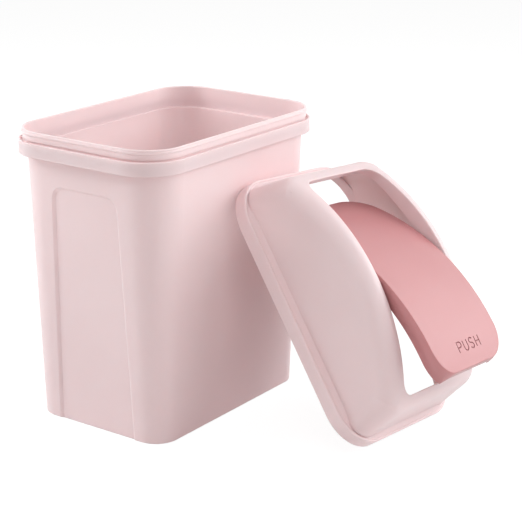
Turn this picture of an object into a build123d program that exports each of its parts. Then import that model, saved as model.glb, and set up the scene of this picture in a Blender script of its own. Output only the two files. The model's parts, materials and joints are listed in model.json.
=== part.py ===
# Swing-lid waste bin in three moulded pieces: a tapered bucket, a domed lid frame and a swing flap.
# Millimetres. The origin is the middle of the bucket's underside, X runs along its long side and Z is up.
# The lid is stored as it stands beside the bucket: on one lower corner, leaning on the long wall.

import os
from math import cos, hypot, radians, sin, tan

from build123d import *

os.makedirs("parts", exist_ok=True)

# Bucket sizes
bucket_height = 300.0
base_half_x = 119.5
base_half_y = 81.8
base_corner = 25.2
wall_top_half_x = 131.6
wall_top_half_y = 91.8
wall_top_corner = 39.5
bucket_wall = 2.2
bucket_floor = 2.6
base_edge_round = 1.2
floor_round = 5.0

# Rim of the bucket: an upright lip, and outside it a hollow band that the lid sits on
lip_half_x = 137.5
lip_half_y = 93.4
lip_corner = 39.8
lip_wall = 2.3
lip_above_band = 11.0
lip_bead_below_top = 3.4
lip_bead_proud = 0.5
lip_bead_height = 2.2
band_proud = 3.6
band_height = 13.6
band_wall = 1.6
ledge_below_band_top = 11.6
ledge_thickness = 2.4
groove_depth = 2.0
groove_into_lip = 0.5
band_web = 2.0

# Recessed panel on each short wall
panel_depth = 2.0
panel_top = 248.5
panel_half_bottom = 49.3
panel_half_top = 41.2
panel_corner = 14.0
panel_side_slope = 2.8
panel_top_slope = 2.2

# Lid frame sizes, in the lid's own axes: X along the lid, Y across it, Z up through the crown
lid_clearance = 0.8
skirt_wall = 2.2
skirt_height = 13.6
lip_headroom = 0.5
skirt_bead = 1.4
shoulder_width = 9.6
shoulder_rise = 2.7
dome_wall = 2.2
dome_crown = 99.25
dome_arch_radius = 209.6
dome_end_shoulder = 7.6
dome_end_draft = 11.5
dome_side_draft = 4.0
dome_base_corner = 22.0
dome_top_corner = 28.0
dome_side_round = 19.0
dome_end_round = 14.0

# Opening in the dome, and the flange that turns down round it
opening_half_length = 113.6
opening_half_width = 62.5
opening_half_width_end = 59.6
opening_corner = 15.5
opening_edge_round = 0.8
flange_wall = 2.0
flange_crown = 81.4
flange_arch_radius = 258.0

# Swing flap
flap_end_gap = 0.6
flap_side_gap = 2.1
flap_corner = 26.4
flap_crown = 99.2
flap_arch_radius = 232.0
flap_wall = 2.2
flap_skirt_depth = 15.3
flap_skirt_wall = 2.0
flap_skirt_taper_from = 109.5
flap_edge_round = 0.9
flap_rib_height = 3.0
flap_rib_wall = 1.5
flap_rib_pitch = 52.0

# Hinge of the flap
hinge_height = 92.2
pin_radius = 3.0
pin_clearance = 0.05
pin_collar_radius = 5.0
pin_collar_gap = 0.6
bearing_radius = 5.7
bearing_depth = 5.0
pin_end_gap = 0.6
lead_in_depth = 1.0
bearing_rib_pitch = 18.0
bearing_rib_wall = 1.6
bearing_rib_depth = 9.0

# Stored pose of the lid and the flap
lid_lean = 34.75
lid_yaw = 1.33
lid_turn = -5.0
lid_offset_x = 57.5
lid_wall_gap = 0.3
flap_open_angle = 22.8

# Sizes that follow from the ones above
band_top = bucket_height - lip_above_band
band_bottom = band_top - band_height
ledge_z = band_top - ledge_below_band_top
skirt_half_x = lip_half_x + lid_clearance + skirt_wall
skirt_half_y = lip_half_y + lid_clearance + skirt_wall
skirt_corner = lip_corner + lid_clearance + skirt_wall
shoulder_underside = lip_above_band + lip_headroom
dome_base_z = skirt_height + shoulder_rise
flap_half_length = opening_half_length - flap_end_gap
flap_half_width = opening_half_width - flap_side_gap


def outline(half_x, half_y, corner, z, inset=0.0):
    """Rounded rectangle at height z, drawn inset towards its middle."""
    flat = RectangleRounded(2 * (half_x - inset), 2 * (half_y - inset), corner - inset)
    return Pos(0, 0, z) * flat


def block(half_x, half_y, corner, low, high, inset=0.0):
    """Upright block with rounded corners between two heights."""
    return extrude(outline(half_x, half_y, corner, low, inset), high - low)


def arch(crown, radius):
    """Long cylinder across the lid whose top line is the arch at the crown height."""
    across = 4 * skirt_half_y
    return Pos(0, 0, crown - radius) * Rot(90, 0, 0) * Cylinder(radius, across)


# Bucket walls: a loft from the base to the ledge, and the same loft drawn in for the inside
def wall_loft(low_z, inset):
    share = low_z / ledge_z
    low = outline(
        base_half_x + share * (wall_top_half_x - base_half_x),
        base_half_y + share * (wall_top_half_y - base_half_y),
        base_corner + share * (wall_top_corner - base_corner),
        low_z,
        inset,
    )
    high = outline(wall_top_half_x, wall_top_half_y, wall_top_corner, ledge_z, inset)
    return loft([low, high], ruled=True)


# Recess cutter for one short wall: it stands on the leaning face and slopes in to its floor
def panel_cutter(side, grow, depth):
    rise = ledge_z
    run = wall_top_half_x - base_half_x
    length = hypot(run, rise)
    face = Plane(
        origin=(side * base_half_x, 0, 0),
        x_dir=(0, side, 0),
        z_dir=(side * rise / length, 0, -run / length),
    )

    def panel_outline(out):
        slope = (panel_half_bottom - panel_half_top) / panel_top
        widen = grow + out * panel_side_slope / panel_depth
        top = panel_top + grow + out * panel_top_slope / panel_depth
        below = -30.0
        low_half = panel_half_bottom - slope * below + widen
        high_half = panel_half_bottom - slope * top + widen
        corners = Polygon((-low_half, below), (low_half, below), (high_half, top), (-high_half, top), align=None)
        upper = corners.vertices().sort_by(Axis.Y)[-2:]
        return fillet(upper, panel_corner + widen / 2)

    over = 2.0
    outer = face.offset(over) * panel_outline(over)
    inner = face.offset(-depth) * panel_outline(-depth)
    return loft([outer, inner], ruled=True)


bucket_outer = wall_loft(0, 0)
bucket_outer = fillet(bucket_outer.faces().sort_by(Axis.Z)[0].edges(), base_edge_round)
bucket_inner = wall_loft(bucket_floor, bucket_wall)
bucket_inner = fillet(bucket_inner.faces().sort_by(Axis.Z)[0].edges(), floor_round)
for side in (-1, 1):
    bucket_outer -= panel_cutter(side, 0, panel_depth)
    bucket_inner -= panel_cutter(side, bucket_wall * 0.6, panel_depth + bucket_wall)

# Lip and band: upright rings outside the wall, with a groove above the web and a hollow below it
lip = block(lip_half_x, lip_half_y, lip_corner, ledge_z - ledge_thickness, bucket_height)
lip_mouth = block(lip_half_x, lip_half_y, lip_corner, ledge_z, bucket_height + 1, lip_wall)
bead_z = bucket_height - lip_bead_below_top
bead = block(
    lip_half_x,
    lip_half_y,
    lip_corner,
    bead_z - lip_bead_height / 2,
    bead_z + lip_bead_height / 2,
    -lip_bead_proud,
)
bead = fillet(bead.edges().group_by(Axis.Z)[0] + bead.edges().group_by(Axis.Z)[-1], lip_bead_proud * 0.9)
lip = lip + bead
band = block(lip_half_x, lip_half_y, lip_corner, band_bottom, band_top, -band_proud)
band = fillet(band.edges().group_by(Axis.Z)[-1], band_wall * 0.45)
groove_floor = band_top - groove_depth
band_inner = -(band_proud - band_wall)
groove = block(lip_half_x, lip_half_y, lip_corner, groove_floor, band_top + 1, band_inner)
groove -= block(lip_half_x, lip_half_y, lip_corner, groove_floor - 1, band_top + 2, groove_into_lip)
hollow = block(lip_half_x, lip_half_y, lip_corner, band_bottom - 1, groove_floor - band_web, band_inner)
hollow -= block(lip_half_x, lip_half_y, lip_corner, band_bottom - 2, band_top, groove_into_lip)

bucket = bucket_outer + lip + (band - lip_mouth - bucket_inner)
bucket = bucket - groove - hollow - lip_mouth - bucket_inner
top_ring = bucket.faces().sort_by(Axis.Z)[-1]
bucket = fillet(top_ring.edges(), lip_wall * 0.4)

# Lid frame rim: the upright skirt, its rounded bead and the sloping shoulder as one swept section
section_plane = Plane(origin=(skirt_half_x, 0, 0), x_dir=(-1, 0, 0), z_dir=(0, 1, 0))
bead_start = skirt_height - skirt_bead
neck = shoulder_width + dome_wall * 0.6
under_end = dome_base_z - dome_wall
with BuildSketch(section_plane) as rim_section:
    with BuildLine():
        skirt_line = Line((0, 0), (0, bead_start))
        bead_arc = ThreePointArc(
            (0, bead_start),
            (skirt_bead, skirt_height + 0.3),
            (2 * skirt_bead, bead_start + 0.9),
        )
        dip_line = Line((2 * skirt_bead, bead_start + 0.9), (2 * skirt_bead + 1.2, bead_start + 1.0))
        shoulder_line = Line((2 * skirt_bead + 1.2, bead_start + 1.0), (shoulder_width, dome_base_z))
        Polyline(
            (shoulder_width, dome_base_z),
            (neck, dome_base_z),
            (neck, under_end),
            (shoulder_width * 0.5, shoulder_underside),
            (skirt_wall, shoulder_underside),
            (skirt_wall, 0),
            (0, 0),
        )
    make_face()
rim_path = outline(skirt_half_x, skirt_half_y, skirt_corner, 0).face().outer_wire()
rim = sweep(rim_section.sketch, rim_path)

# Dome: a drafted loft cut by the arch. The short ends have a tight round, the long sides a full one.
def dome_solid(inset, low_z):
    def level(z):
        height = z - dome_base_z
        half_x = skirt_half_x - dome_end_shoulder - height * tan(radians(dome_end_draft))
        half_y = skirt_half_y - shoulder_width - height * tan(radians(dome_side_draft))
        return half_x, half_y

    high_z = dome_crown + 6
    top = arch(dome_crown - inset, dome_arch_radius - inset)
    low = outline(*level(low_z), dome_base_corner, low_z, inset)
    high = outline(*level(high_z), dome_top_corner, high_z, inset)
    body = loft([low, high], ruled=True) & top
    body = fillet(body.faces().sort_by(Axis.Z)[-1].edges(), dome_end_round - inset)

    def strip(z):
        return Pos(0, 0, z) * Rectangle(2 * skirt_half_x, 2 * (level(z)[1] - inset))

    tunnel = loft([strip(low_z), strip(high_z)], ruled=True) & top
    long_edges = tunnel.faces().sort_by(Axis.Z)[-1].edges().sort_by(SortBy.LENGTH)[-2:]
    return body & fillet(long_edges, dome_side_round - inset)


# Opening with gently bowed long sides, its flange and the two hinge bearings
def opening_outline(out):
    half = opening_half_length + out
    end = opening_half_width_end + out
    middle = opening_half_width + out
    with BuildSketch() as shape:
        with BuildLine():
            ThreePointArc((-half, end), (0, middle), (half, end))
            Line((half, end), (half, -end))
            ThreePointArc((half, -end), (0, -middle), (-half, -end))
            Line((-half, -end), (-half, end))
        make_face()
        fillet(shape.vertices(), opening_corner + out)
    return shape.sketch


dome_low = dome_base_z - dome_wall * 0.9
opening_cut = extrude(opening_outline(0), dome_crown + 10)
dome_outer = dome_solid(0, dome_low) - opening_cut
opening_walls = dome_outer.faces().filter_by(lambda face: abs(face.normal_at().Z) < 0.01)
opening_edges = opening_walls.edges().filter_by(Axis.Z, reverse=True)
dome_outer = fillet(opening_edges.filter_by_position(Axis.Z, dome_base_z, dome_crown), opening_edge_round)
dome = dome_outer - dome_solid(dome_wall, dome_low)
flange = extrude(opening_outline(flange_wall), dome_crown + 10) & dome_outer
flange -= arch(flange_crown, flange_arch_radius)

bearing_reach = opening_half_width + bearing_depth
for side in (-1, 1):
    boss_mid = side * (opening_half_width + bearing_depth / 2)
    flange += Pos(0, boss_mid, hinge_height) * Rot(90, 0, 0) * Cylinder(bearing_radius, bearing_depth)
    for at in (-0.5, 0.5):
        rib_low = hinge_height - bearing_rib_depth / 2
        rib = Box(
            bearing_rib_wall,
            dome_side_round,
            dome_crown - rib_low,
            align=(Align.CENTER, Align.MIN, Align.MIN),
        )
        rib = Pos(at * bearing_rib_pitch, opening_half_width, rib_low) * rib
        flange += (rib if side > 0 else mirror(rib, Plane.XZ)) & dome_outer

lid = rim + dome + flange - opening_cut
hole_radius = pin_radius + pin_clearance
lid -= Pos(0, 0, hinge_height) * Rot(90, 0, 0) * Cylinder(hole_radius, 2 * bearing_reach + 2)
lead_in = Box(
    2 * hole_radius,
    2 * (opening_half_width + lead_in_depth),
    hinge_height,
    align=(Align.CENTER, Align.CENTER, Align.MIN),
)
lid -= lead_in

# Flap: an arched plate with a skirt round its long sides and corners, ribs and two hinge pins
flap_outline = RectangleRounded(2 * flap_half_length, 2 * flap_half_width, flap_corner)
flap_blank = extrude(flap_outline, dome_crown + 10) & arch(flap_crown, flap_arch_radius)
flap_blank = fillet(flap_blank.faces().sort_by(Axis.Z)[-1].edges(), flap_edge_round)
under_plate = arch(flap_crown - flap_wall, flap_arch_radius - flap_wall)
plate = flap_blank - under_plate
skirt_band = flap_blank - extrude(offset(flap_outline, -flap_skirt_wall), dome_crown + 10)
skirt_radius = flap_arch_radius - flap_skirt_depth
skirt_end_z = flap_crown - flap_arch_radius + (skirt_radius**2 - flap_skirt_taper_from**2) ** 0.5
tip_z = flap_crown - flap_arch_radius + (flap_arch_radius**2 - flap_half_length**2) ** 0.5
with BuildSketch(Plane.XZ) as skirt_side:
    with BuildLine():
        ThreePointArc(
            (-flap_skirt_taper_from, skirt_end_z),
            (0, flap_crown - flap_skirt_depth),
            (flap_skirt_taper_from, skirt_end_z),
        )
        Polyline(
            (flap_skirt_taper_from, skirt_end_z),
            (flap_half_length, tip_z - flap_wall),
            (flap_half_length + 1, tip_z - flap_wall),
            (flap_half_length + 1, dome_crown + 10),
            (-flap_half_length - 1, dome_crown + 10),
            (-flap_half_length - 1, tip_z - flap_wall),
            (-flap_half_length, tip_z - flap_wall),
            (-flap_skirt_taper_from, skirt_end_z),
        )
    make_face()
skirt_side_block = extrude(skirt_side.sketch, 2 * flap_half_width, both=True)
flap = plate + (skirt_band & skirt_side_block)
rib_floor = arch(flap_crown - flap_wall - flap_rib_height, flap_arch_radius - flap_wall - flap_rib_height)
for at in (-1.5, -0.5, 0.5, 1.5):
    rib = Box(flap_rib_wall, 2 * flap_half_width - flap_skirt_wall, dome_crown)
    rib = Pos(at * flap_rib_pitch, 0, dome_crown / 2) * rib
    flap += (rib & under_plate) - rib_floor
collar_reach = opening_half_width - pin_collar_gap
pin_reach = bearing_reach - pin_end_gap
for side in (-1, 1):
    root = flap_half_width - flap_skirt_wall / 2
    for radius, reach in ((pin_collar_radius, collar_reach), (pin_radius, pin_reach)):
        pin = Rot(90, 0, 0) * Cylinder(radius, reach - root)
        flap += Pos(0, side * (root + reach) / 2, hinge_height) * pin

# Stored pose: the rim stands on the floor plane and its upper corner meets the leaning wall
lean_plane = Plane(
    origin=(0, 0, 0),
    x_dir=(0, sin(radians(lid_lean)), cos(radians(lid_lean))),
    z_dir=(0, -cos(radians(lid_lean)), sin(radians(lid_lean))),
)
lid_turned = Plane(Rot(0, 0, lid_yaw) * lean_plane.location * Rot(0, 0, lid_turn))


def rim_reach(direction):
    """Distance the skirt's lower edge reaches from the lid's origin along a direction."""
    along = abs(lid_turned.x_dir.dot(direction))
    across = abs(lid_turned.y_dir.dot(direction))
    straight = (skirt_half_x - skirt_corner) * along + (skirt_half_y - skirt_corner) * across
    return straight + skirt_corner * hypot(along, across)


wall_slope = (wall_top_half_y - base_half_y) / ledge_z
lid_z = rim_reach(Vector(0, 0, 1))
lid_y = -base_half_y - lid_wall_gap - wall_slope * lid_z - rim_reach(Vector(0, 1, wall_slope))
lid_place = Plane(origin=(lid_offset_x, lid_y, lid_z), x_dir=lid_turned.x_dir, z_dir=lid_turned.z_dir).location
flap_place = lid_place * Pos(0, 0, hinge_height) * Rot(0, flap_open_angle, 0) * Pos(0, 0, -hinge_height)

nodes = {
    "bucket": bucket,
    "lid_frame": lid_place * lid,
    "swing_flap": flap_place * flap,
}
for name, solid in nodes.items():
    size = solid.bounding_box().size
    print(name, "solids", len(solid.solids()), "volume cm3", round(solid.volume / 1000, 1), "size", size)
    export_step(solid, f"parts/{name}.step")
hinge_point = lid_place * Pos(0, 0, hinge_height)
print("lid origin", lid_place.position, "hinge point", hinge_point.position)
print("lid axes", lid_turned.x_dir, lid_turned.y_dir, lid_turned.z_dir)
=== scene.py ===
# %% [markdown]
# # A swing-lid waste bin in pale pink plastic
# The bin is three injection mouldings: a tapered bucket, a domed lid frame and a darker flap that
# swings in the frame. They could be modelled here by hand, but a lid that seats and a flap that
# swings need exact sizes, so their shapes come from the CAD model, which this lesson loads as a
# fixed frame. What is left for Blender is the finish: the satin skin of the plastic, the engraved
# word, soft studio light and the camera of the photograph.

import json
import math

import bpy
from mathutils import Matrix, Vector


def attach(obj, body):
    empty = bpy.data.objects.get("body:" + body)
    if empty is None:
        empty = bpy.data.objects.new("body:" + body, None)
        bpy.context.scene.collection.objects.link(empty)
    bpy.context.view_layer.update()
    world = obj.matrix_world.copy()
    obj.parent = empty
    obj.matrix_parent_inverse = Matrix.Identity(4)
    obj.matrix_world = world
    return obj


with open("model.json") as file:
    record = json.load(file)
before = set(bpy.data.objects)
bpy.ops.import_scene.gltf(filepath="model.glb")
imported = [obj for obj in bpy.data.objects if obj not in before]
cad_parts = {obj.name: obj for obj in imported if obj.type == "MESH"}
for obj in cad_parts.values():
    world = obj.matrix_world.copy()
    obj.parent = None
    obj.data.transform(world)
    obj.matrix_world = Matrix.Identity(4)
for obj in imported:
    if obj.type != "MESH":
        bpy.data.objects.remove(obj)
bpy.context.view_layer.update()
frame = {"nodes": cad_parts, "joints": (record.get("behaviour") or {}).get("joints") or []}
bucket = frame["nodes"]["bucket"]
lid_frame = frame["nodes"]["lid_frame"]
swing_flap = frame["nodes"]["swing_flap"]


# %% [markdown]
# ## Where the camera stood
# The bin was photographed through a long lens about one and a half metres away, turned to the
# left of the front and looking a little down. A camera could be dragged about until the picture
# looks right, but one fitted to the outlines of the bin is exact. Writing it as a target, two
# angles and a distance keeps every number readable. The small roll is the tilt of a camera held
# by hand.

# %% Camera angles
TARGET = Vector((0.00081, -0.11498, 0.16775))
AZIMUTH = math.radians(-54.69)
ELEVATION = math.radians(17.65)
ROLL = math.radians(0.39)
DISTANCE = 1.57443


def way_out(azimuth, elevation):
    """Unit vector away from the bin, for an angle from the front to the right and one upwards."""
    return Vector(
        (
            math.sin(azimuth) * math.cos(elevation),
            -math.cos(azimuth) * math.cos(elevation),
            math.sin(elevation),
        )
    )


back = way_out(AZIMUTH, ELEVATION)
level = Vector((0, 0, 1)).cross(back).normalized()
upright = back.cross(level)
right = level * math.cos(ROLL) + upright * math.sin(ROLL)
up = upright * math.cos(ROLL) - level * math.sin(ROLL)
print("camera is turned so that back is", [round(v, 3) for v in back])

# %% [markdown]
# ## Set up the camera
# A camera can be turned with three rotation angles, but the three directions from the last step
# are already the columns of its matrix, so no angle has to be worked out twice. The long lens
# keeps the walls of the bucket nearly parallel, as they are in the photograph.

# %% Camera
LENS = 109.54
SENSOR_WIDTH = 36
NEAREST_SEEN = 0.05
FARTHEST_SEEN = 50


def stand(name, data):
    """Object in the scene that carries the given mesh, curve, lamp or camera."""
    carrier = bpy.data.objects.new(name, data)
    bpy.context.scene.collection.objects.link(carrier)
    return carrier


turned = Matrix((right, up, back)).transposed().to_4x4()
camera_data = bpy.data.cameras.new("camera")
camera_data.sensor_width = SENSOR_WIDTH
camera_data.lens = LENS
camera_data.clip_start = NEAREST_SEEN
camera_data.clip_end = FARTHEST_SEEN
camera = stand("camera", camera_data)
camera.matrix_world = Matrix.Translation(TARGET + back * DISTANCE) @ turned
bpy.context.scene.camera = camera
print("camera stands at", [round(v, 3) for v in camera.location])

# %% [markdown]
# ## A white studio
# The bin was photographed in front of seamless white. A real studio gets that white with more
# light on the backdrop, but here more light would also wash out the bin. So the world has two
# faces: plain white for the camera and for reflections, and a weak warm light for everything
# else, which stands for what pale paper sends back into the shadows. The Light Path node tells
# which of the two a ray should meet.

# %% Two faces of white
SEES_WHITE = ("Is Camera Ray", "Is Glossy Ray", "Is Transmission Ray")


def light_path_gate(tree):
    """Value that is 1 for the rays in SEES_WHITE and 0 for the light that shades."""
    path = tree.nodes.new("ShaderNodeLightPath")
    gate = path.outputs[SEES_WHITE[0]]
    for kind in SEES_WHITE[1:]:
        either = tree.nodes.new("ShaderNodeMath")
        either.operation = "MAXIMUM"
        tree.links.new(gate, either.inputs[0])
        tree.links.new(path.outputs[kind], either.inputs[1])
        gate = either.outputs[0]
    return gate


def two_faces(tree, shading, seen, surface):
    """Sends one shader to the light that shades and another to what the camera and gloss see."""
    choose = tree.nodes.new("ShaderNodeMixShader")
    tree.links.new(light_path_gate(tree), choose.inputs[0])
    tree.links.new(shading, choose.inputs[1])
    tree.links.new(seen, choose.inputs[2])
    tree.links.new(choose.outputs[0], surface)


print("rays that meet the white face:", SEES_WHITE)

# %% [markdown]
# ## The world
# An image of a real studio would light the bin too, but it would also put that studio into every
# view. Two plain backgrounds are enough here, because the softboxes do the lighting.

# %% World
AMBIENT = 0.10
AMBIENT_TINT = (1, 0.86, 0.845, 1)
WHITE = (1, 1, 1, 1)

world = bpy.data.worlds.new("studio_white")
world.use_nodes = True
bpy.context.scene.world = world
sky = world.node_tree
weak_warm = sky.nodes["Background"]
weak_warm.inputs["Color"].default_value = AMBIENT_TINT
weak_warm.inputs["Strength"].default_value = AMBIENT
plain_white = sky.nodes.new("ShaderNodeBackground")
plain_white.inputs["Color"].default_value = WHITE
plain_white.inputs["Strength"].default_value = 1.0
sky_surface = sky.nodes["World Output"].inputs["Surface"]
two_faces(sky, weak_warm.outputs[0], plain_white.outputs[0], sky_surface)
print("world is white to the camera and shades with strength", AMBIENT)

# %% [markdown]
# ## The paper floor
# The bin stands on the same white paper, and only a faint contact shadow shows under it. The
# floor needs no backdrop curve, since the world behind it is as white as it is. For the light
# that shades it is plain pale paper. For the camera it is a dim paper with a glow, so that it is
# nearly white by itself and the little light that it still takes from the lamps draws the soft
# shadow. It lies a hair below zero, so that it never shares a plane with the underside of the
# bin.

# %% Floor
FLOOR_HALF = 6.0
FLOOR_DROP = 0.0004
PAPER = (0.90, 0.88, 0.875, 1)
DIM_PAPER = (0.16, 0.158, 0.158, 1)
PAPER_GLOW = 0.93

paper = bpy.data.meshes.new("paper_floor")
ways = ((-1, -1), (1, -1), (1, 1), (-1, 1))
corners = [(x * FLOOR_HALF, y * FLOOR_HALF, -FLOOR_DROP) for x, y in ways]
paper.from_pydata(corners, [], [(0, 1, 2, 3)])
floor = stand("paper_floor", paper)

paper_white = bpy.data.materials.new("paper_white")
paper_white.use_nodes = True
nodes = paper_white.node_tree.nodes
links = paper_white.node_tree.links
nodes.clear()
out = nodes.new("ShaderNodeOutputMaterial")
plain = nodes.new("ShaderNodeBsdfDiffuse")
plain.inputs["Color"].default_value = PAPER
dim = nodes.new("ShaderNodeBsdfDiffuse")
dim.inputs["Color"].default_value = DIM_PAPER
glow = nodes.new("ShaderNodeEmission")
glow.inputs["Color"].default_value = WHITE
glow.inputs["Strength"].default_value = PAPER_GLOW
lifted = nodes.new("ShaderNodeAddShader")
links.new(dim.outputs[0], lifted.inputs[0])
links.new(glow.outputs[0], lifted.inputs[1])
two_faces(paper_white.node_tree, plain.outputs[0], lifted.outputs[0], out.inputs["Surface"])
paper.materials.append(paper_white)
print("floor is", 2 * FLOOR_HALF, "m wide and glows with", PAPER_GLOW)

# %% [markdown]
# ## Softboxes
# Large area lights give the broad, soft falloff of a product studio. One big box in front would
# be simpler, but it would flatten the round corners and the recess. Here one group stands behind
# the bin on the left, so the short wall is lit at a slant and light also enters the thin walls
# from behind. The other group stands at the right front for the long wall and the flap, which
# leaves the bucket's near corner and the lid's cheek a shade darker. A few weak boxes fill in
# from above and from the left. The boxes hold back their red a little, because light that goes
# from one pink wall to another gets redder on its way. Two angles round the bin give each place,
# so a box is easy to move.

# %% Softboxes
MIDDLE = Vector((0.0, -0.12, 0.15))
REACH = 2.2
SOFTBOX_SIDE = 1.3
COOL = (0.93, 1.0, 1.0)
WARM = (0.94, 0.90, 0.89)


def softbox(name, azimuth, elevation, watts, colour):
    """Square area light that faces the bin, from two angles in degrees: round it and upwards."""
    data = bpy.data.lights.new(name, "AREA")
    data.shape = "SQUARE"
    data.size = SOFTBOX_SIDE
    data.energy = watts
    data.color = colour
    lamp = stand(name, data)
    place = MIDDLE + REACH * way_out(math.radians(azimuth), math.radians(elevation))
    lamp.location = place
    lamp.rotation_mode = "QUATERNION"
    lamp.rotation_quaternion = (MIDDLE - place).to_track_quat("-Z", "Y")
    print(name, "at", [round(v, 2) for v in place], "gives", watts, "W")


softbox("softbox_back_left", -150, 25, 23, COOL)
softbox("softbox_back_high", -165, 38, 14.6, COOL)
softbox("softbox_back_top", -140, 60, 4.7, WARM)
softbox("softbox_left_high", -75, 55, 8.5, WARM)
softbox("softbox_front_left", -30, 30, 10.3, WARM)
softbox("softbox_front_right", 25, 25, 10.2, COOL)
softbox("softbox_right", 50, 20, 18.5, COOL)
softbox("softbox_right_high", 45, 50, 8, COOL)
softbox("softbox_far_right", 70, 35, 6, WARM)
softbox("softbox_top", 0, 88, 3.5, WARM)

# %% [markdown]
# ## Moulded plastic: the tint
# All three pieces are polypropylene with a fine satin skin. A picture of the skin wrapped round
# the pieces would show seams and blur up close, so noise in the piece's own coordinates makes it.
# The first noise is slow and shifts the tint by a few parts in a hundred, as thick and thin walls
# do.

# %% Noise and tint
TINT_SCALE, TINT_DETAIL = 9.0, 3.0
TINT_FROM, TINT_TO = 0.35, 0.65


def noise(tree, place, scale, detail):
    """Noise of the given scale and detail, as a value over the piece's own coordinates."""
    pattern = tree.nodes.new("ShaderNodeTexNoise")
    pattern.inputs["Scale"].default_value = scale
    pattern.inputs["Detail"].default_value = detail
    tree.links.new(place, pattern.inputs["Vector"])
    return pattern.outputs["Fac"]


def tinted(tree, place, light_tint, deep_tint):
    """Colour that drifts slowly between two linear tints."""
    tint = tree.nodes.new("ShaderNodeValToRGB")
    deep_end, light_end = tint.color_ramp.elements
    deep_end.position, light_end.position = TINT_FROM, TINT_TO
    deep_end.color, light_end.color = (*deep_tint, 1), (*light_tint, 1)
    tree.links.new(noise(tree, place, TINT_SCALE, TINT_DETAIL), tint.inputs["Fac"])
    return tint.outputs["Color"]


print("tint drifts over about", round(1000 / TINT_SCALE), "mm")

# %% [markdown]
# ## Moulded plastic: gloss and grain
# A new bin is not equally glossy all over: hands and cloths polish some places and dull others,
# so a second noise varies the roughness. The third and finest is the grain of the mould. Grain
# that small would cost millions of faces as real relief, so it is bump, on edges that a Bevel
# node rounds as a mould does.

# %% Gloss and grain
POLISH_SCALE, POLISH_DETAIL = 34.0, 5.0
POLISHED, WORN = -0.05, 0.07
GRAIN_SCALE, GRAIN_DETAIL = 1500.0, 2.0
GRAIN_DEPTH = 0.00003
GRAIN_STRENGTH = 0.5
BEVEL_SAMPLES = 6


def glossed(tree, place, roughness):
    """Roughness that is a little lower where the skin is polished and higher where it is worn."""
    gloss = tree.nodes.new("ShaderNodeMapRange")
    gloss.inputs["To Min"].default_value = roughness + POLISHED
    gloss.inputs["To Max"].default_value = roughness + WORN
    tree.links.new(noise(tree, place, POLISH_SCALE, POLISH_DETAIL), gloss.inputs["Value"])
    return gloss.outputs["Result"]


def grained(tree, place, edge_round):
    """Normal with the moulded grain as bump, on edges that are rounded by edge_round metres."""
    bump = tree.nodes.new("ShaderNodeBump")
    bump.inputs["Strength"].default_value = GRAIN_STRENGTH
    bump.inputs["Distance"].default_value = GRAIN_DEPTH
    tree.links.new(noise(tree, place, GRAIN_SCALE, GRAIN_DETAIL), bump.inputs["Height"])
    soft_edge = tree.nodes.new("ShaderNodeBevel")
    soft_edge.samples = BEVEL_SAMPLES
    soft_edge.inputs["Radius"].default_value = edge_round
    tree.links.new(soft_edge.outputs["Normal"], bump.inputs["Normal"])
    return bump.outputs["Normal"]


print("grain is", round(1000 * GRAIN_DEPTH, 3), "mm deep")

# %% [markdown]
# ## The bin's four plastics
# The bucket and the lid are one pale pink, the lid a little glossier and rounder at its edges,
# and the flap is a rose. Light enters such plastic, wanders and comes out close by: it softens
# shaded sides, and it brightens the inside of the thin walls. Real transmission through the walls
# would take far more samples, so a share of subsurface light stands for it, with red reaching
# deepest. The fourth plastic is the bottom of the engraved grooves. It is rougher, and its darker
# tint is painted shade, which stands for the shade that falls into the narrow grooves.

# %% Plastic recipe
POLYPROPYLENE_IOR = 1.49
SATIN_SPECULAR = 0.4
GLOW_SHARE = 0.30
GLOW_REACH = (1.0, 0.62, 0.58)
PINK = ((0.90, 0.682, 0.693), (0.88, 0.662, 0.673))
ROSE = ((0.58, 0.262, 0.271), (0.56, 0.249, 0.258))
# The groove tint is painted shade: a dark rose that stands for the shade inside the engraved
# grooves.
SHADED_GROOVE = ((0.36, 0.125, 0.135), (0.34, 0.115, 0.125))


def moulded_plastic(name, tints, roughness, edge_round, glow_depth):
    """Satin polypropylene from two linear tints, with edge_round and glow_depth in metres."""
    material = bpy.data.materials.new(name)
    material.use_nodes = True
    tree = material.node_tree
    skin = tree.nodes["Principled BSDF"]
    place = tree.nodes.new("ShaderNodeTexCoord").outputs["Object"]
    tree.links.new(tinted(tree, place, *tints), skin.inputs["Base Color"])
    tree.links.new(glossed(tree, place, roughness), skin.inputs["Roughness"])
    tree.links.new(grained(tree, place, edge_round), skin.inputs["Normal"])
    skin.inputs["IOR"].default_value = POLYPROPYLENE_IOR
    skin.inputs["Specular IOR Level"].default_value = SATIN_SPECULAR
    skin.inputs["Subsurface Weight"].default_value = GLOW_SHARE
    skin.inputs["Subsurface Radius"].default_value = GLOW_REACH
    skin.inputs["Subsurface Scale"].default_value = glow_depth
    return material


pale_pink = moulded_plastic("pale_pink", PINK, 0.40, edge_round=0.0008, glow_depth=0.018)
lid_pink = moulded_plastic("lid_pink", PINK, 0.36, edge_round=0.0010, glow_depth=0.018)
rose = moulded_plastic("rose", ROSE, 0.36, edge_round=0.0007, glow_depth=0.005)
# This plastic's dark tint paints the shade of the narrow grooves; only its roughness is the
# groove's own.
groove_painted_shade = moulded_plastic("groove_painted_shade", SHADED_GROOVE, 0.55, edge_round=0.0002, glow_depth=0.001)
print("plastics:", [kind.name for kind in (pale_pink, lid_pink, rose, groove_painted_shade)])

# %% [markdown]
# ## Dress the three pieces
# A mould leaves broad smooth walls and a few real edges. Flat shading would show every facet of
# the CAD mesh, and smooth shading alone would smear over the edges of the ribs and the bearings.
# So the pieces are smooth up to an angle and sharp beyond it.

# %% Dress the pieces
SMOOTH_UP_TO = math.radians(32)


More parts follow.
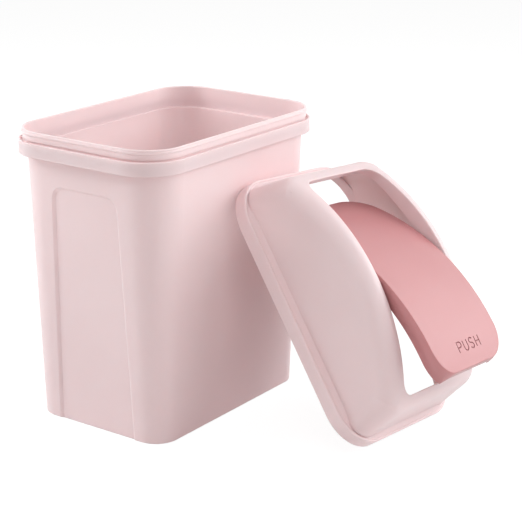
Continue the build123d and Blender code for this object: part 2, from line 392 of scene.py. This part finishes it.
def dress(node, material):
    """Gives a CAD piece its finish, with smooth shading that stops at real edges."""
    for held in node.material_slots:
        held.material = material
    node.data.shade_smooth()
    node.data.set_sharp_from_angle(angle=SMOOTH_UP_TO)
    print(node.name, "wears", material.name, "on", len(node.data.polygons), "faces")


dress(bucket, pale_pink)
dress(lid_frame, lid_pink)
dress(swing_flap, rose)

# %% [markdown]
# ## The flap's own axes
# What is added to the lid or the flap has to move with it. It could be placed by eye in the
# world, but the hinge joint already knows where the flap is, so its point and its axis give a set
# of axes on the lid. They are turned by the angle at which the flap stands open, and bent along
# its arch.

# %% Flap axes
joints = {joint["name"]: joint for joint in frame["joints"]}
hinge_point = Vector(joints["flap_swing"]["pos_m"])
across = Vector(joints["flap_swing"]["axis"]).normalized()
crown_way = Vector(joints["lid_lift_away"]["axis"]).normalized()
along = across.cross(crown_way).normalized()
FLAP_OPEN = math.radians(22.8)
flap_along = along * math.cos(FLAP_OPEN) - crown_way * math.sin(FLAP_OPEN)
flap_up = along * math.sin(FLAP_OPEN) + crown_way * math.cos(FLAP_OPEN)
FLAP_ARCH = 0.232
CROWN_ABOVE_HINGE = 0.0070


def on_flap(run, side, height=0.0):
    """Point on the flap's arched top: run along the arch from its crown, side across it."""
    turn = run / FLAP_ARCH
    radius = FLAP_ARCH + height
    x = radius * math.sin(turn)
    z = CROWN_ABOVE_HINGE - FLAP_ARCH + radius * math.cos(turn)
    return hinge_point + flap_along * x + across * side + flap_up * z


print("flap crown at", [round(v, 3) for v in on_flap(0, 0)])

# %% [markdown]
# ## The engraved word
# Near its lower end the flap carries a plain instruction, sunk into the skin. Text from a font
# would bring somebody's typeface, and bump alone would be missing from the mesh. A mould maker
# mills such a word, with each letter as the path of a small ball cutter, so that is how it is
# made here. Each letter is first drawn as plain strokes in a box of one by one.

# %% Letter strokes
def arc(cx, cy, rx, ry, start, end, steps=10):
    """Points on an ellipse between two angles in degrees."""
    angles = [math.radians(start + (end - start) * k / steps) for k in range(steps + 1)]
    return [(cx + rx * math.cos(a), cy + ry * math.sin(a)) for a in angles]


LETTERS = {
    "P": [[(0, 0), (0, 1), (0.55, 1)] + arc(0.55, 0.74, 0.45, 0.26, 90, -90) + [(0, 0.48)]],
    "U": [[(0, 1), (0, 0.34)] + arc(0.5, 0.34, 0.5, 0.34, 180, 360) + [(1, 1)]],
    "S": [arc(0.5, 0.76, 0.45, 0.24, 25, 270, 14) + arc(0.5, 0.26, 0.47, 0.26, 90, -155, 14)[1:]],
    "H": [[(0, 0), (0, 1)], [(1, 0), (1, 1)], [(0, 0.5), (1, 0.5)]],
}
WORD = "PUSH"
print("strokes in each letter:", [len(LETTERS[letter]) for letter in WORD])

# %% [markdown]
# ## Lay the word on the flap
# The strokes are stretched to the size of the letters, bent along the arch of the flap and given
# the round section of the cutter. A curve with a bevel does that by itself, and it is turned into
# a mesh because a Boolean takes nothing else. The cutter is hidden and rides on the flap.

# %% Letter paths
LETTER_TALL = 0.0104
LETTER_WIDE = 0.0068
LETTER_PITCH = 0.0109
WORD_RUN = -0.0975
WORD_SIDE = -0.0023
CUTTER_RADIUS = 0.00068
CUTTER_ROUNDNESS = 3
CUTTER_SINK = 0.0001

paths = bpy.data.curves.new("word_paths", "CURVE")
paths.dimensions = "3D"
paths.bevel_depth = CUTTER_RADIUS
paths.bevel_resolution = CUTTER_ROUNDNESS
paths.use_fill_caps = True
for number, letter in enumerate(WORD):
    left = WORD_SIDE + LETTER_PITCH * (len(WORD) / 2 - number) - (LETTER_PITCH - LETTER_WIDE) / 2
    for stroke in LETTERS[letter]:
        line = paths.splines.new("POLY")
        line.points.add(len(stroke) - 1)
        for spot, (x, y) in zip(line.points, stroke):
            run = WORD_RUN + (y - 0.5) * LETTER_TALL
            side = left - x * LETTER_WIDE
            spot.co = (*on_flap(run, side, -CUTTER_SINK), 1)
drawn = stand("word_paths", paths)
bpy.context.view_layer.update()
tubes = drawn.evaluated_get(bpy.context.evaluated_depsgraph_get())
cutter_mesh = bpy.data.meshes.new_from_object(tubes)
bpy.data.objects.remove(drawn)
word_cutter = stand("word_cutter", cutter_mesh)
word_cutter.hide_render = True
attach(word_cutter, "swing_flap")
print("letter paths:", len(WORD), "letters,", len(cutter_mesh.vertices), "points")

# %% [markdown]
# ## Cut the word into the flap
# The cutter takes the tubes out of the skin. A Boolean does that cleanly once the seams of the
# CAD mesh are welded, and it hands the grooves the cutter's own plastic, whose darker tint is
# painted shade for the grooves. Moving the vertices of the skin instead would need a very fine
# mesh everywhere.

# %% Engrave the flap
WELD_REACH = 0.000002

# The cutter's plastic paints shade into the grooves with its dark tint.
cutter_mesh.materials.clear()
cutter_mesh.materials.append(groove_painted_shade)
weld = swing_flap.modifiers.new("weld_seams", "WELD")
weld.merge_threshold = WELD_REACH
engrave = swing_flap.modifiers.new("engrave_word", "BOOLEAN")
engrave.operation = "DIFFERENCE"
engrave.object = word_cutter
engrave.solver = "EXACT"
engrave.use_self = True
engrave.material_mode = "TRANSFER"
print("flap is welded within", round(1000 * WELD_REACH, 3), "mm and cut by", engrave.object.name)

# %% [markdown]
# ## Smooth skin round the word
# A Boolean leaves long thin faces round the letters, and their blended normals would shade like
# dents. A finer mesh would hide that at a cost, but the true arch is known, so a finely divided
# arch lends its normals to every face corner that lies on it, and the skin round the word stays
# as smooth as the mould.

# %% Smooth arch under the word
ARCH_STEPS = 160
ARCH_REACH = 0.128
ARCH_HALF_WIDTH = 0.075
NORMALS_REACH = 0.00012

guide = bpy.data.meshes.new("arch_guide")
ring = []
for k in range(ARCH_STEPS + 1):
    run = ARCH_REACH * (2 * k / ARCH_STEPS - 1)
    ring += [on_flap(run, ARCH_HALF_WIDTH), on_flap(run, -ARCH_HALF_WIDTH)]
guide.from_pydata(ring, [], [(2 * k, 2 * k + 1, 2 * k + 3, 2 * k + 2) for k in range(ARCH_STEPS)])
guide.shade_smooth()
if guide.polygons[0].normal.dot(flap_up) < 0:
    guide.flip_normals()
arch_guide = stand("arch_guide", guide)
arch_guide.hide_render = True
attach(arch_guide, "swing_flap")
lend = swing_flap.modifiers.new("arch_normals", "DATA_TRANSFER")
lend.object = arch_guide
lend.use_loop_data = True
lend.data_types_loops = {"CUSTOM_NORMAL"}
lend.loop_mapping = "POLYINTERP_NEAREST"
lend.use_max_distance = True
lend.max_distance = NORMALS_REACH
engraved = swing_flap.evaluated_get(bpy.context.evaluated_depsgraph_get())
print("flap faces before and after:", len(swing_flap.data.polygons), len(engraved.data.polygons))

# %% [markdown]
# ## The gate mark
# Molten plastic enters the lid's mould through a small gate, and trimming it leaves a low round
# nub on the cheek. A ready-made sphere would have its poles and rings in the wrong places for
# something so flat, so three rings and a tip make it. Its skirt goes a little into the cheek, so
# no gap shows, and it is given in the lid's own axes from the hinge.

# %% Gate mark
LID_HINGE_HEIGHT = 0.0922
GATE_PLACE = Vector((0.10795, 0.07912, 0.06193))
GATE_WAY = Vector((0.336, 0.687, 0.644)).normalized()
GATE_RADIUS = 0.0011
GATE_PROUD = 0.0004
GATE_SKIRT = 0.0005
GATE_SIDES = 20


def on_lid(spot):
    """World point of a spot given in the lid's axes, measured from the middle of its rim."""
    rise = spot.z - LID_HINGE_HEIGHT
    return hinge_point + along * spot.x + across * spot.y + crown_way * rise


gate_side = GATE_WAY.orthogonal().normalized()
gate_other = GATE_WAY.cross(gate_side)
profile = [(1.0, -GATE_SKIRT), (0.94, 0.45 * GATE_PROUD), (0.62, 0.85 * GATE_PROUD)]
points = []
for share, lift in profile:
    for k in range(GATE_SIDES):
        turn = 2 * math.pi * k / GATE_SIDES
        edge = gate_side * math.cos(turn) + gate_other * math.sin(turn)
        points.append(on_lid(GATE_PLACE + edge * GATE_RADIUS * share + GATE_WAY * lift))
points.append(on_lid(GATE_PLACE + GATE_WAY * GATE_PROUD))
sides = [(k, (k + 1) % GATE_SIDES) for k in range(GATE_SIDES)]
top_ring = (len(profile) - 1) * GATE_SIDES
tip = len(points) - 1
faces = []
for lower in range(0, top_ring, GATE_SIDES):
    upper = lower + GATE_SIDES
    faces += [(lower + a, lower + b, upper + b, upper + a) for a, b in sides]
faces += [(top_ring + a, top_ring + b, tip) for a, b in sides]
nub = bpy.data.meshes.new("gate_mark")
nub.from_pydata(points, [], faces)
nub.shade_smooth()
nub.materials.append(lid_pink)
gate_mark = stand("gate_mark", nub)
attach(gate_mark, "lid_frame")
print("gate mark stands", 1000 * GATE_PROUD, "mm proud")

# %% [markdown]
# ## The view transform
# The view transform stays at Standard, since a film-like curve would shift the pinks.

# %% Finish
bpy.context.scene.view_settings.view_transform = "Standard"
